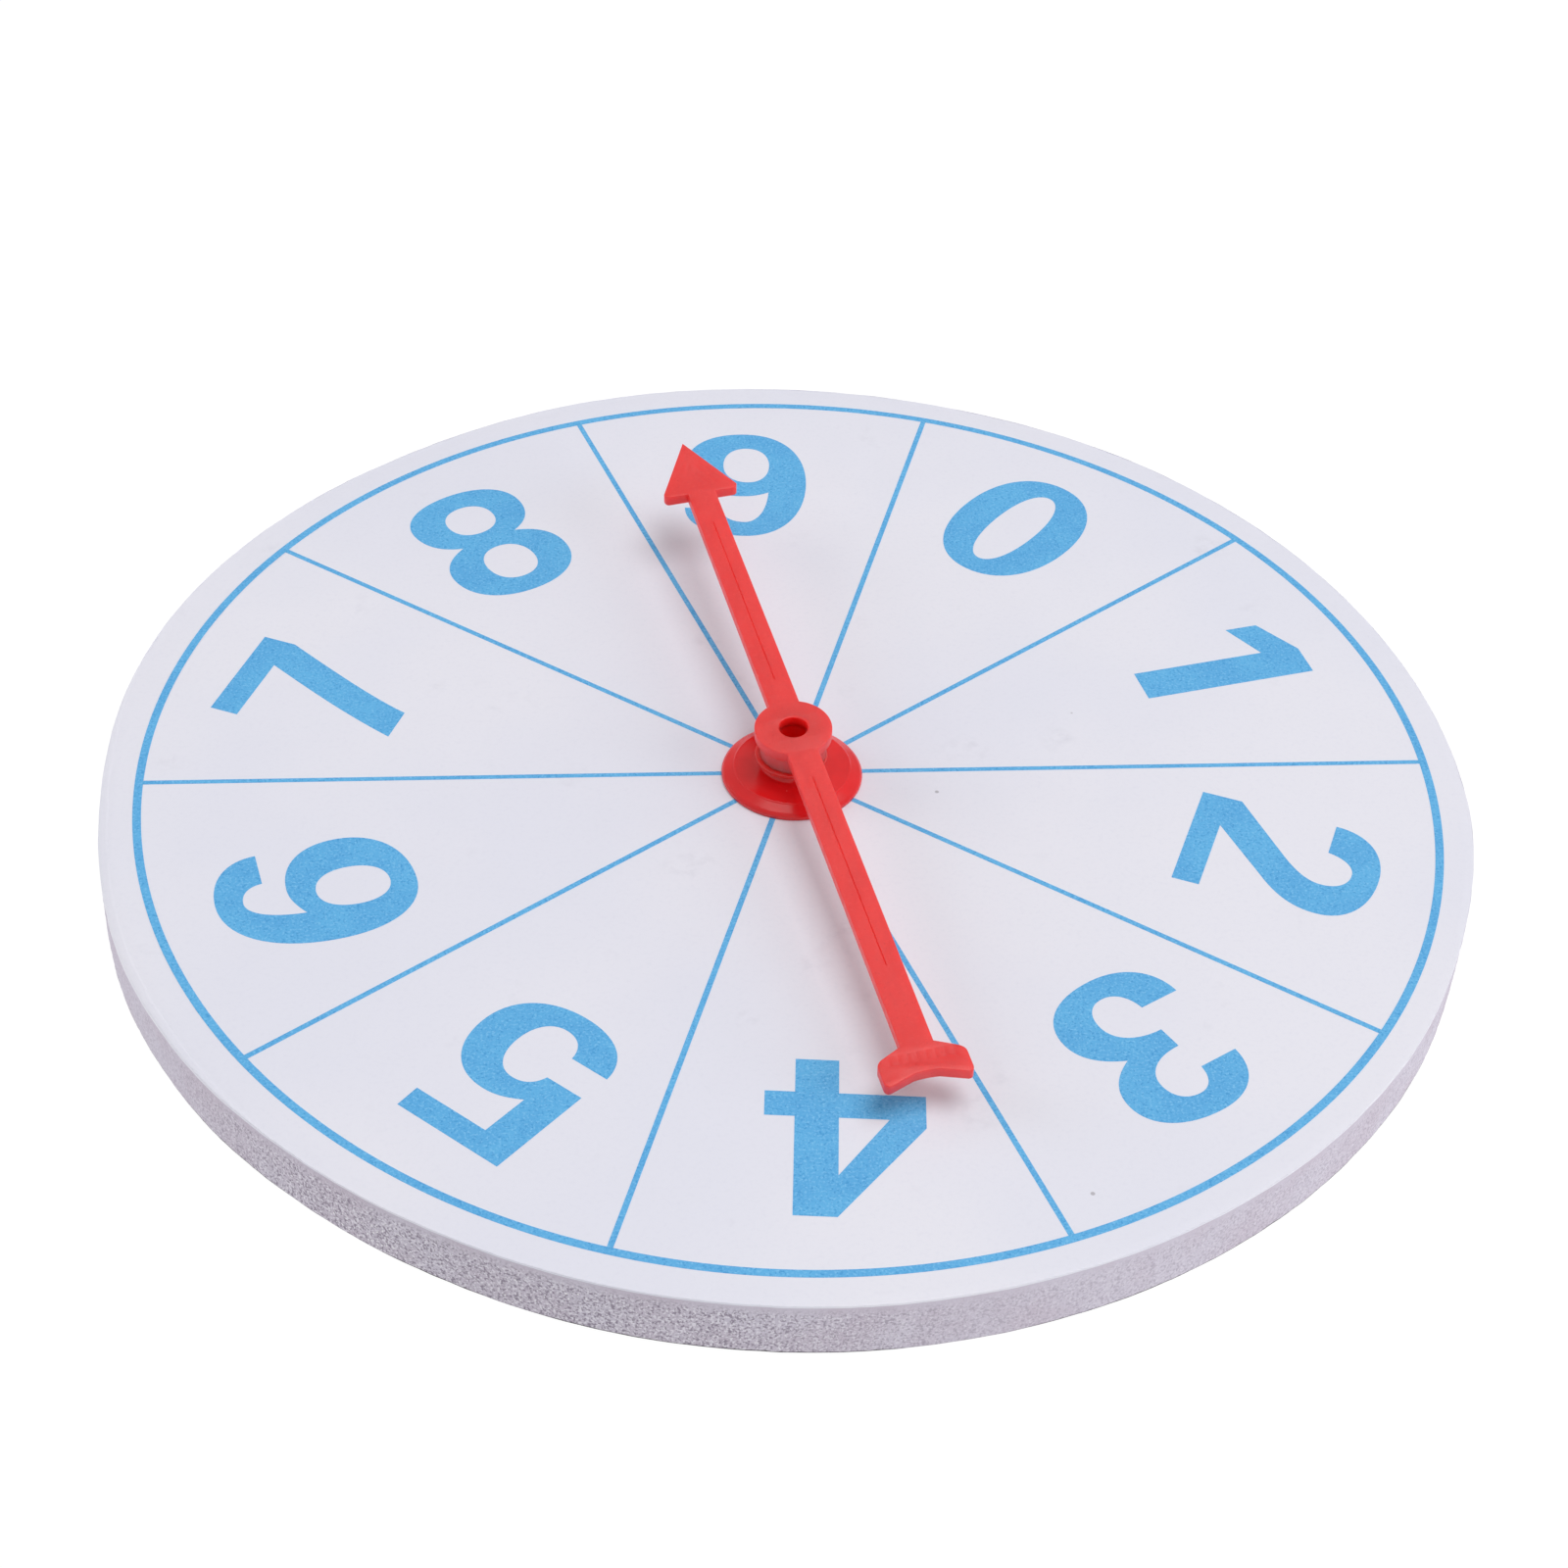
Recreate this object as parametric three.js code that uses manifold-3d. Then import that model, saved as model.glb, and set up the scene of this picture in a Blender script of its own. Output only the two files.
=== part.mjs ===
// A number spinner for board games: a round foam board with a printed face sheet, a domed hub
// clipped through the middle of the board, and a flat arrow that turns freely on the hub.
// Millimetres, +Z up. The origin is the centre of the board's back face, and +Y points along
// the middle of one of the ten sectors of the dial.
import * as THREE from "three";
import { mergeVertices } from "three/addons/utils/BufferGeometryUtils.js";
import Module from "manifold-3d";

const wasm = await Module();
wasm.setup();

// ---- Driving dimensions -------------------------------------------------------------------

// Board
const DISC_R = 75;
const FOAM_THICKNESS = 6.6;
const SHEET_THICKNESS = 0.3;
const FACE_Z = FOAM_THICKNESS + SHEET_THICKNESS;
const PUNCHED_HOLE_R = 4.3;
const RECESS_R = 7;
const RECESS_DEPTH = 1.3;

// Hub base: heights are above the face of the board
const FLANGE_R = 7.8;
const FLANGE_RIM_HEIGHT = 0.4;
const CROWN_R = 6.4;
const CROWN_HEIGHT = 1.3;
const DOME_CORNER_R = 7.55;
const DOME_CORNER_HEIGHT = 0.8;
const BOSS_FOOT_HEIGHT = 1.65;
const BOSS_FILLET = 0.25;
const BOSS_R = 3.2;
const BOSS_HEIGHT = 2.5;
const BORE_R = 2.1;

// Sleeve of the hub base, which goes down through the board
const SLEEVE_R = 3.2;
const SLEEVE_END_Z = 2.1;
const SLEEVE_CHAMFER = 0.35;
const CLIP_Z = 3.6;
const CLIP_HALF_HEIGHT = 0.35;
const CLIP_PROUD = 0.15;

// Rear retainer, pressed over the sleeve from behind
const RETAINER_Z = 0.15;
const RETAINER_FLANGE_R = 6.7;
const RETAINER_FLANGE_THICKNESS = 1.0;
const RETAINER_FLOOR_THICKNESS = 0.8;
const RETAINER_TUBE_R = 4.2;
const RETAINER_TUBE_TOP_Z = 5.4;
const TUBE_MOUTH_CHAMFER = 0.3;
const CLIP_CLEARANCE = 0.06;

// Thrust washer
const WASHER_R = 4.0;
const WASHER_BORE_R = 2.25;
const WASHER_THICKNESS = 0.6;
const RUNNING_GAP = 0.05;
const EDGE_BREAK = 0.12;

// Arrow: plate seen from above, with its length along Y
const PLATE_TOP_Z = FACE_Z + 6.95;
const PLATE_THICKNESS = 1.35;
const RING_R = 4.25;
const SHAFT_HALF_AT_RING = 1.75;
const SHAFT_HALF_AT_ENDS = 1.7;
const TIP_Y = 51.35;
const BARB_X = 4.4;
const BARB_Y = 42.45;
const BARB_BACK_X = 3.8;
const BARB_BACK_Y = 41.75;
const TAIL_NECK_Y = -46.75;
const SHOULDER_X = 3.65;
const SHOULDER_Y = -47.75;
const SHOULDER_CORNER_Y = -48.2;
const TAIL_X = 4.6;
const TAIL_SIDE_TOP_Y = -48.9;
const TAIL_SIDE_END_Y = -50.75;
const TAIL_HORN_X = 4.0;
const TAIL_HORN_Y = -51.45;
const HOLLOW_BEND_X = 1.35;
const HOLLOW_BEND_Y = -50.45;
const HOLLOW_MIDDLE_Y = -50.35;
const ARROW_HEADING = THREE.MathUtils.degToRad(11);

// Arrow: hollow neck and slotted snap peg under the plate
const NECK_FOOT_R = 3.7;
const NECK_TOP_R = 3.2;
const PEG_R = 2.0;
const PEG_END_GAP = 0.1;
const PEG_END_Z = RETAINER_Z + RETAINER_FLOOR_THICKNESS + PEG_END_GAP;
const BEAD_R = 2.45;
const BEAD_TIP_R = 1.9;
const BEAD_HEIGHT = 0.35;
const BEAD_SHOULDER = 0.1;
const HOLE_R = 1.57;
const HOLE_DEPTH = 4.2;
const PEG_BORE_R = 1.1;
const LEG_SLOT_WIDTH = 0.8;
const LEG_SLOT_TOP_Z = 6.5;

// Facets around a full turn
const DISC_SEGMENTS = 144;
const HUB_SEGMENTS = 60;
const CURVE_POINTS = 8;

// How far a cutting solid runs past the surface it cuts
const CUT_OVERRUN = 1;

// ---- Helpers ------------------------------------------------------------------------------

function solidOf(geometry) {
  const bare = geometry.clone();
  bare.deleteAttribute("normal");
  bare.deleteAttribute("uv");
  const merged = mergeVertices(bare);
  return new wasm.Manifold(
    new wasm.Mesh({
      numProp: 3,
      vertProperties: merged.attributes.position.array,
      triVerts: new Uint32Array(merged.index.array),
    }),
  );
}

function geometryOf(solid) {
  const mesh = solid.getMesh();
  const geometry = new THREE.BufferGeometry();
  geometry.setAttribute("position", new THREE.BufferAttribute(mesh.vertProperties, 3));
  geometry.setIndex(new THREE.BufferAttribute(mesh.triVerts, 1));
  geometry.computeVertexNormals();
  return geometry;
}

// Turns a profile of [radius, height] points about Z. A ring's profile is closed back to its start.
function turned(profile, segments, closed = true) {
  const points = profile.map(([radius, height]) => new THREE.Vector2(radius, height));
  if (closed) points.push(points[0].clone());
  return new THREE.LatheGeometry(points, segments).rotateX(Math.PI / 2);
}

// Points along a quarter-round from start to end whose tangents meet at the corner.
function rounded(start, corner, end) {
  const curve = new THREE.QuadraticBezierCurve(
    new THREE.Vector2(...start),
    new THREE.Vector2(...corner),
    new THREE.Vector2(...end),
  );
  return curve.getPoints(CURVE_POINTS).map((point) => [point.x, point.y]);
}

function piece(name, geometry, { color, roughness }) {
  const material = new THREE.MeshStandardMaterial({ color, roughness, metalness: 0 });
  const mesh = new THREE.Mesh(geometry, material);
  mesh.name = name;
  return mesh;
}

// ---- Materials ----------------------------------------------------------------------------

const CUT_FOAM = { color: 0xc6c2d0, roughness: 0.95 };
const PRINTED_FILM = { color: 0xe4e4ec, roughness: 0.5 };
const GLOSS_RED = { color: 0xd8272c, roughness: 0.25 };
const SATIN_RED = { color: 0xe04b4b, roughness: 0.45 };

// ---- Board --------------------------------------------------------------------------------

// The foam has a punched hole for the hub and a shallow recess behind for the retainer.
function foamDisc() {
  const profile = [
    [PUNCHED_HOLE_R, RECESS_DEPTH],
    [RECESS_R, RECESS_DEPTH],
    [RECESS_R, 0],
    [DISC_R, 0],
    [DISC_R, FOAM_THICKNESS],
    [PUNCHED_HOLE_R, FOAM_THICKNESS],
  ];
  return piece("foam_disc", turned(profile, DISC_SEGMENTS), CUT_FOAM);
}

function faceSheet() {
  const profile = [
    [PUNCHED_HOLE_R, FOAM_THICKNESS],
    [DISC_R, FOAM_THICKNESS],
    [DISC_R, FACE_Z],
    [PUNCHED_HOLE_R, FACE_Z],
  ];
  return piece("face_sheet", turned(profile, DISC_SEGMENTS), PRINTED_FILM);
}

// ---- Hub ----------------------------------------------------------------------------------

// A domed flange on the face, a boss that carries the washer, and a sleeve down through the board.
function hubBase() {
  const rimTop = [FLANGE_R, FACE_Z + FLANGE_RIM_HEIGHT];
  const crown = [CROWN_R, FACE_Z + CROWN_HEIGHT];
  const domeCorner = [DOME_CORNER_R, FACE_Z + DOME_CORNER_HEIGHT];
  const profile = [
    [BORE_R, SLEEVE_END_Z],
    [SLEEVE_R - SLEEVE_CHAMFER, SLEEVE_END_Z],
    [SLEEVE_R, SLEEVE_END_Z + SLEEVE_CHAMFER],
    [SLEEVE_R, CLIP_Z - CLIP_HALF_HEIGHT],
    [SLEEVE_R + CLIP_PROUD, CLIP_Z],
    [SLEEVE_R, CLIP_Z + CLIP_HALF_HEIGHT],
    [SLEEVE_R, FACE_Z],
    [FLANGE_R, FACE_Z],
    ...rounded(rimTop, domeCorner, crown),
    [BOSS_R + BOSS_FILLET, FACE_Z + BOSS_FOOT_HEIGHT],
    [BOSS_R, FACE_Z + BOSS_FOOT_HEIGHT + BOSS_FILLET],
    [BOSS_R, FACE_Z + BOSS_HEIGHT - EDGE_BREAK],
    [BOSS_R - EDGE_BREAK, FACE_Z + BOSS_HEIGHT],
    [BORE_R, FACE_Z + BOSS_HEIGHT],
  ];
  return piece("hub_base", turned(profile, HUB_SEGMENTS), GLOSS_RED);
}

// A flanged cup behind the board. Its tube grips the sleeve, and its floor covers the peg's end.
function rearRetainer() {
  const tubeBore = SLEEVE_R + CLIP_CLEARANCE;
  const flangeTop = RETAINER_Z + RETAINER_FLANGE_THICKNESS;
  const profile = [
    [0, RETAINER_Z],
    [RETAINER_FLANGE_R - EDGE_BREAK, RETAINER_Z],
    [RETAINER_FLANGE_R, RETAINER_Z + EDGE_BREAK],
    [RETAINER_FLANGE_R, flangeTop],
    [RETAINER_TUBE_R, flangeTop],
    [RETAINER_TUBE_R, RETAINER_TUBE_TOP_Z],
    [tubeBore + TUBE_MOUTH_CHAMFER, RETAINER_TUBE_TOP_Z],
    [tubeBore, RETAINER_TUBE_TOP_Z - TUBE_MOUTH_CHAMFER],
    [tubeBore, CLIP_Z + CLIP_HALF_HEIGHT + CLIP_CLEARANCE],
    [tubeBore + CLIP_PROUD, CLIP_Z],
    [tubeBore, CLIP_Z - CLIP_HALF_HEIGHT - CLIP_CLEARANCE],
    [tubeBore, RETAINER_Z + RETAINER_FLOOR_THICKNESS],
    [0, RETAINER_Z + RETAINER_FLOOR_THICKNESS],
  ];
  return piece("rear_retainer", turned(profile, HUB_SEGMENTS, false), GLOSS_RED);
}

function thrustWasher() {
  const bottom = FACE_Z + BOSS_HEIGHT + RUNNING_GAP;
  const top = bottom + WASHER_THICKNESS;
  const profile = [
    [WASHER_BORE_R, bottom],
    [WASHER_R - EDGE_BREAK, bottom],
    [WASHER_R, bottom + EDGE_BREAK],
    [WASHER_R, top - EDGE_BREAK],
    [WASHER_R - EDGE_BREAK, top],
    [WASHER_BORE_R, top],
  ];
  return piece("thrust_washer", turned(profile, HUB_SEGMENTS), SATIN_RED);
}

// ---- Arrow --------------------------------------------------------------------------------

// The right half of the plate's outline, from the tail's hollow up to the tip.
function arrowRightSide(shape) {
  const ringJoinY = Math.sqrt(RING_R ** 2 - SHAFT_HALF_AT_RING ** 2);
  const joinAngle = Math.atan2(ringJoinY, SHAFT_HALF_AT_RING);
  shape.lineTo(TAIL_HORN_X, TAIL_HORN_Y);
  shape.quadraticCurveTo(TAIL_X, TAIL_HORN_Y, TAIL_X, TAIL_SIDE_END_Y);
  shape.lineTo(TAIL_X, TAIL_SIDE_TOP_Y);
  shape.quadraticCurveTo(TAIL_X, SHOULDER_CORNER_Y, SHOULDER_X, SHOULDER_Y);
  shape.lineTo(SHAFT_HALF_AT_ENDS, TAIL_NECK_Y);
  shape.lineTo(SHAFT_HALF_AT_RING, -ringJoinY);
  shape.absarc(0, 0, RING_R, -joinAngle, joinAngle, false);
  shape.lineTo(SHAFT_HALF_AT_ENDS, BARB_BACK_Y);
  shape.lineTo(BARB_BACK_X, BARB_BACK_Y);
  shape.quadraticCurveTo(BARB_X, BARB_BACK_Y, BARB_X, BARB_Y);
}

// The whole outline: the right half, the tip, and the right half's points mirrored and reversed.
function arrowOutline() {
  const right = new THREE.Shape();
  right.moveTo(HOLLOW_BEND_X, HOLLOW_BEND_Y);
  arrowRightSide(right);
  const rightPoints = right.getPoints(CURVE_POINTS);
  const leftPoints = rightPoints.map((point) => new THREE.Vector2(-point.x, point.y)).reverse();
  const hollow = rounded(
    [-HOLLOW_BEND_X, HOLLOW_BEND_Y],
    [0, 2 * HOLLOW_MIDDLE_Y - HOLLOW_BEND_Y],
    [HOLLOW_BEND_X, HOLLOW_BEND_Y],
  ).slice(1, -1).map(([x, y]) => new THREE.Vector2(x, y));
  return new THREE.Shape([...rightPoints, new THREE.Vector2(0, TIP_Y), ...leftPoints, ...hollow]);
}

function arrowPlate() {
  const plate = new THREE.ExtrudeGeometry(arrowOutline(), {
    depth: PLATE_THICKNESS,
    bevelEnabled: false,
  });
  return solidOf(plate.translate(0, 0, PLATE_TOP_Z - PLATE_THICKNESS));
}

// The neck stands on the washer; the peg below it turns in the hub's bore, and the bead under
// the end of the sleeve keeps the arrow from lifting out.
function neckAndPeg() {
  const washerTop = FACE_Z + BOSS_HEIGHT + RUNNING_GAP + WASHER_THICKNESS;
  const shoulder = washerTop + RUNNING_GAP;
  const beadTop = SLEEVE_END_Z - RUNNING_GAP;
  const profile = [
    [0, PEG_END_Z],
    [BEAD_TIP_R, PEG_END_Z],
    [BEAD_R, beadTop - BEAD_HEIGHT],
    [BEAD_R, beadTop - BEAD_SHOULDER],
    [PEG_R, beadTop],
    [PEG_R, shoulder],
    [NECK_FOOT_R, shoulder],
    [NECK_TOP_R, PLATE_TOP_Z - PLATE_THICKNESS / 2],
    [0, PLATE_TOP_Z - PLATE_THICKNESS / 2],
  ];
  return solidOf(turned(profile, HUB_SEGMENTS, false));
}

// The open hole down the neck, narrowing into the bore between the peg's legs.
function neckBore() {
  const holeEnd = PLATE_TOP_Z - HOLE_DEPTH;
  const profile = [
    [0, PEG_END_Z - CUT_OVERRUN],
    [PEG_BORE_R, PEG_END_Z - CUT_OVERRUN],
    [PEG_BORE_R, holeEnd - (HOLE_R - PEG_BORE_R)],
    [HOLE_R, holeEnd],
    [HOLE_R, PLATE_TOP_Z + CUT_OVERRUN],
    [0, PLATE_TOP_Z + CUT_OVERRUN],
  ];
  return solidOf(turned(profile, HUB_SEGMENTS, false));
}

// The slot that splits the peg into two legs, so that the bead can squeeze through the hub.
function legSlot() {
  const bottom = PEG_END_Z - CUT_OVERRUN;
  const height = LEG_SLOT_TOP_Z - bottom;
  const box = new THREE.BoxGeometry(4 * BEAD_R, LEG_SLOT_WIDTH, height);
  return solidOf(box.translate(0, 0, bottom + height / 2));
}

function spinArrow() {
  const solid = arrowPlate().add(neckAndPeg()).subtract(neckBore()).subtract(legSlot());
  return piece("spin_arrow", geometryOf(solid), SATIN_RED);
}

// ---- Assembly -----------------------------------------------------------------------------

const board = new THREE.Group();
board.add(foamDisc(), faceSheet());

const hub = new THREE.Group();
hub.add(hubBase(), rearRetainer(), thrustWasher());

const arrow = new THREE.Group();
arrow.add(spinArrow());
arrow.rotation.z = ARROW_HEADING;

const gameSpinner = new THREE.Group();
gameSpinner.add(board, hub, arrow);

export default gameSpinner;
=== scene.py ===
"""The looks of the number spinner: a foam board with a printed face, a red hub and washer, and a
red arrow, on a pale floor in soft studio light. The lengths below are millimetres of a board
150 mm across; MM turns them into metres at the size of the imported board."""
import math

import bpy
import numpy as np
from mathutils import Matrix, Vector, noise
from mathutils.geometry import tessellate_polygon


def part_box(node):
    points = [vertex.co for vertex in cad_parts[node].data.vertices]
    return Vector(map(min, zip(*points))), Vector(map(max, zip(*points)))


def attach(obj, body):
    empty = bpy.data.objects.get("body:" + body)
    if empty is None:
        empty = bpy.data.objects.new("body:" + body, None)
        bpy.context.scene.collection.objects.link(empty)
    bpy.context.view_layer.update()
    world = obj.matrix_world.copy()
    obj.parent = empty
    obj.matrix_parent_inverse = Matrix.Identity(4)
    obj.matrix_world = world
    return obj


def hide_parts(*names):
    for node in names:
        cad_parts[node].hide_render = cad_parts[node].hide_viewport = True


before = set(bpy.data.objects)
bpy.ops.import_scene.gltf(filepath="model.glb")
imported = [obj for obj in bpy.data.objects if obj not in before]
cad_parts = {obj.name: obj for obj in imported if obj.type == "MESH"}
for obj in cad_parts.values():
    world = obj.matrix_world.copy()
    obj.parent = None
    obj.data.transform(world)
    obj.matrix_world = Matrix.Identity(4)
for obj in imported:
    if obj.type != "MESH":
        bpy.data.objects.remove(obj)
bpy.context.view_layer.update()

# ---- Sizes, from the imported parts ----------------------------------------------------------

sheet_low, sheet_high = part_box("face_sheet")
hub_low, hub_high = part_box("hub_base")
washer_low, washer_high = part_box("thrust_washer")
retainer_low, retainer_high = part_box("rear_retainer")
arrow_low, arrow_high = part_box("spin_arrow")

DISC_R = 75
MM = sheet_high.x / DISC_R
FACE_Z = sheet_high.z / MM
FOAM_TOP_Z = sheet_low.z / MM
FLANGE_R = hub_high.x / MM
BOSS_TOP_Z = hub_high.z / MM
SLEEVE_END_Z = hub_low.z / MM
WASHER_R = washer_high.x / MM
WASHER_BOTTOM_Z = washer_low.z / MM
WASHER_TOP_Z = washer_high.z / MM
RETAINER_R = retainer_high.x / MM
RETAINER_Z = retainer_low.z / MM
RETAINER_TOP_Z = retainer_high.z / MM
PEG_END_Z = arrow_low.z / MM
PLATE_TOP_Z = arrow_high.z / MM

# The radii of the holes, which the boxes don't show
HUB_HOLE_R = 4.3
BORE_R = 2.1

SECTORS = 10
SECTOR_ANGLE = 2 * math.pi / SECTORS

FINE_TURN = 180
FILLET_STEPS = 4
EDGE_STEPS = 4
SHARP_ANGLE = math.radians(38)

# ---- Mesh helpers --------------------------------------------------------------------------


def add_piece(name, vertices, faces, material, body):
    """A mesh object of vertices in millimetres that rides on a body, with soft shading."""
    mesh = bpy.data.meshes.new(name)
    mesh.from_pydata([Vector(point) * MM for point in vertices], [], faces)
    mesh.validate()
    mesh.shade_smooth()
    mesh.set_sharp_from_angle(angle=SHARP_ANGLE)
    mesh.materials.append(material)
    piece = bpy.data.objects.new(name, mesh)
    bpy.context.scene.collection.objects.link(piece)
    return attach(piece, body)


def filleted(profile):
    """A closed profile of (radius, height, fillet) corners, each rounded off by its fillet."""
    points = []
    for index, (radius, height, fillet) in enumerate(profile):
        corner = Vector((radius, height))
        if fillet == 0:
            points.append(corner)
            continue
        before = Vector(profile[index - 1][:2])
        after = Vector(profile[(index + 1) % len(profile)][:2])
        start = corner + fillet * (before - corner).normalized()
        end = corner + fillet * (after - corner).normalized()
        for step in range(FILLET_STEPS + 1):
            share = step / FILLET_STEPS
            points.append(start.lerp(corner, share).lerp(corner.lerp(end, share), share))
    return points


def turned(profile, segments=FINE_TURN):
    """Vertices and faces of a closed profile of (radius, height) points turned about Z.
    The profile runs anticlockwise, with the radius to the right and the height upwards."""
    vertices = []
    rings = []
    for radius, height in profile:
        if radius == 0:
            rings.append([len(vertices)] * segments)
            vertices.append((0, 0, height))
            continue
        rings.append([len(vertices) + step for step in range(segments)])
        for step in range(segments):
            angle = 2 * math.pi * step / segments
            vertices.append((radius * math.cos(angle), radius * math.sin(angle), height))
    faces = []
    for lower, upper in zip(rings, rings[1:] + rings[:1]):
        for step in range(segments):
            following = (step + 1) % segments
            corners = [lower[step], lower[following], upper[following], upper[step]]
            face = [c for place, c in enumerate(corners) if c != corners[place - 1]]
            if len(face) > 2:
                faces.append(face)
    return np.array(vertices), faces


def grain(points, size, seed):
    """Smooth noise from -1 to 1 at each point, with features of the given size."""
    shift = Vector((seed * 17.3, seed * 5.1, seed * 9.7))
    return np.array([noise.noise(Vector(point) / size + shift) for point in points])


def smooth_step(low, high, value):
    """0 at low and 1 at high, with a soft start and end. High may be the smaller number."""
    share = np.clip((value - low) / (high - low), 0, 1)
    return share * share * (3 - 2 * share)


def inset(loop, distance):
    """An anticlockwise loop of points moved inwards, or outwards if the loop is clockwise."""
    moved = []
    for index, point in enumerate(loop):
        before = (point - loop[index - 1]).normalized()
        after = (loop[(index + 1) % len(loop)] - point).normalized()
        side_before = Vector((-before.y, before.x))
        side_after = Vector((-after.y, after.x))
        reach = distance / (1 + side_before.dot(side_after))
        moved.append(point + reach * (side_before + side_after))
    return moved


def quarter_round(radius):
    """Steps of (inwards, downwards) from the full width up to the edge of a face."""
    if radius == 0:
        return [(0.0, 0.0)]
    turns = [math.pi / 2 * step / EDGE_STEPS for step in range(EDGE_STEPS + 1)]
    return [(radius * (1 - math.cos(t)), radius * (1 - math.sin(t))) for t in turns]


def slab(loops, bottom, top, top_round=0.0, foot_round=0.0):
    """Vertices and faces of a flat solid between two heights, bounded by an anticlockwise
    outline and clockwise holes, with its long edges rounded."""
    levels = [(move, bottom + rise) for move, rise in reversed(quarter_round(foot_round))]
    levels += [(move, top - drop) for move, drop in quarter_round(top_round)]
    vertices = []
    faces = []
    first_of_level = []
    for move, height in levels:
        first_of_level.append(len(vertices))
        for loop in loops:
            vertices += [(x, y, height) for x, y in (inset(loop, move) if move else loop)]
    for lower, upper in zip(first_of_level, first_of_level[1:]):
        start = 0
        for loop in loops:
            for index in range(len(loop)):
                here = start + index
                there = start + (index + 1) % len(loop)
                faces.append([lower + here, lower + there, upper + there, upper + here])
            start += len(loop)
    flat = [[Vector((x, y, 0)) for x, y in inset(loop, levels[-1][0])] for loop in loops]
    everything = [point for loop in flat for point in loop]
    for a, b, c in tessellate_polygon(flat):
        if (everything[b] - everything[a]).cross(everything[c] - everything[a]).z < 0:
            b, c = c, b
        faces.append([first_of_level[-1] + corner for corner in (a, b, c)])
        faces.append([first_of_level[0] + corner for corner in (a, c, b)])
    return vertices, faces


# ---- Material helpers ----------------------------------------------------------------------


def linear(red, green, blue):
    """A colour given as it looks on a screen, from 0 to 255, as linear RGBA."""
    return [*(((part / 255 + 0.055) / 1.055) ** 2.4 for part in (red, green, blue)), 1]


NOISE_ROUGHNESS = 0.55


class Surface:
    """A Principled material built up from procedural layers in the piece's own space."""

    def __init__(self, name, color, roughness, **constants):
        self.material = bpy.data.materials.new(name)
        self.material.use_nodes = True
        self.tree = self.material.node_tree
        self.shader = self.tree.nodes["Principled BSDF"]
        self.shader.inputs["Base Color"].default_value = color
        self.shader.inputs["Roughness"].default_value = roughness
        for socket, value in constants.items():
            self.shader.inputs[socket.replace("_", " ")].default_value = value
        self.place = self.node("TexCoord").outputs["Object"]
        self.color = None
        self.normal = None

    def node(self, kind, **settings):
        made = self.tree.nodes.new("ShaderNode" + kind)
        for setting, value in settings.items():
            setattr(made, setting, value)
        return made

    def link(self, source, target):
        self.tree.links.new(source, target)

    def noise(self, size, detail=3, stretch=(1, 1, 1)):
        """Noise from 0 to 1 with features of the given size in millimetres. A stretch below 1
        makes them longer along its axis, and one above 1 shorter."""
        mapping = self.node("Mapping")
        mapping.inputs["Scale"].default_value = stretch
        self.link(self.place, mapping.inputs["Vector"])
        made = self.node("TexNoise")
        made.inputs["Scale"].default_value = 1 / (size * MM)
        made.inputs["Detail"].default_value = detail
        made.inputs["Roughness"].default_value = NOISE_ROUGHNESS
        self.link(mapping.outputs["Vector"], made.inputs["Vector"])
        return made.outputs["Fac"]

    def cells(self, size):
        """The distance, in cells, to the nearest of scattered points of the given spacing."""
        made = self.node("TexVoronoi")
        made.inputs["Scale"].default_value = 1 / (size * MM)
        self.link(self.place, made.inputs["Vector"])
        return made.outputs["Distance"]

    def ramp(self, value, low, high, at_low=0.0, at_high=1.0):
        """A value stretched so that low gives at_low and high gives at_high, and kept there."""
        made = self.node("MapRange", clamp=True)
        made.inputs["From Min"].default_value = low
        made.inputs["From Max"].default_value = high
        made.inputs["To Min"].default_value = at_low
        made.inputs["To Max"].default_value = at_high
        self.link(value, made.inputs["Value"])
        return made.outputs["Result"]

    def times(self, first, second):
        """The product of two values."""
        made = self.node("Math", operation="MULTIPLY")
        self.link(first, made.inputs[0])
        self.link(second, made.inputs[1])
        return made.outputs["Value"]

    def along(self, axis, low, high, at_low=0.0, at_high=1.0):
        """A ramp along an axis of the board, between two places in millimetres."""
        split = self.node("SeparateXYZ")
        self.link(self.place, split.inputs["Vector"])
        return self.ramp(split.outputs[axis], low * MM, high * MM, at_low, at_high)

    def from_axis(self, low, high):
        """A ramp from 0 to 1 outwards from the board's axis, between two distances."""
        flatten = self.node("Mapping")
        flatten.inputs["Scale"].default_value = (1, 1, 0)
        self.link(self.place, flatten.inputs["Vector"])
        length = self.node("VectorMath", operation="LENGTH")
        self.link(flatten.outputs["Vector"], length.inputs[0])
        return self.ramp(length.outputs["Value"], low * MM, high * MM)

    def tint(self, color, amount):
        """Mixes another colour in by an amount that varies from 0 to 1."""
        made = self.node("Mix", data_type="RGBA")
        if self.color is None:
            made.inputs["A"].default_value = self.shader.inputs["Base Color"].default_value
        else:
            self.link(self.color, made.inputs["A"])
        made.inputs["B"].default_value = color
        self.link(amount, made.inputs["Factor"])
        self.color = made.outputs["Result"]
        self.link(self.color, self.shader.inputs["Base Color"])

    def rough(self, value):
        """Gives the surface a roughness that varies."""
        self.link(value, self.shader.inputs["Roughness"])

    def bump(self, value, height, strength):
        """Raises the surface by value times height, a height in millimetres."""
        made = self.node("Bump")
        made.inputs["Strength"].default_value = strength
        made.inputs["Distance"].default_value = height * MM
        self.link(value, made.inputs["Height"])
        if self.normal is not None:
            self.link(self.normal, made.inputs["Normal"])
        self.normal = made.outputs["Normal"]
        self.link(self.normal, self.shader.inputs["Normal"])


# ---- Materials -----------------------------------------------------------------------------


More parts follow.
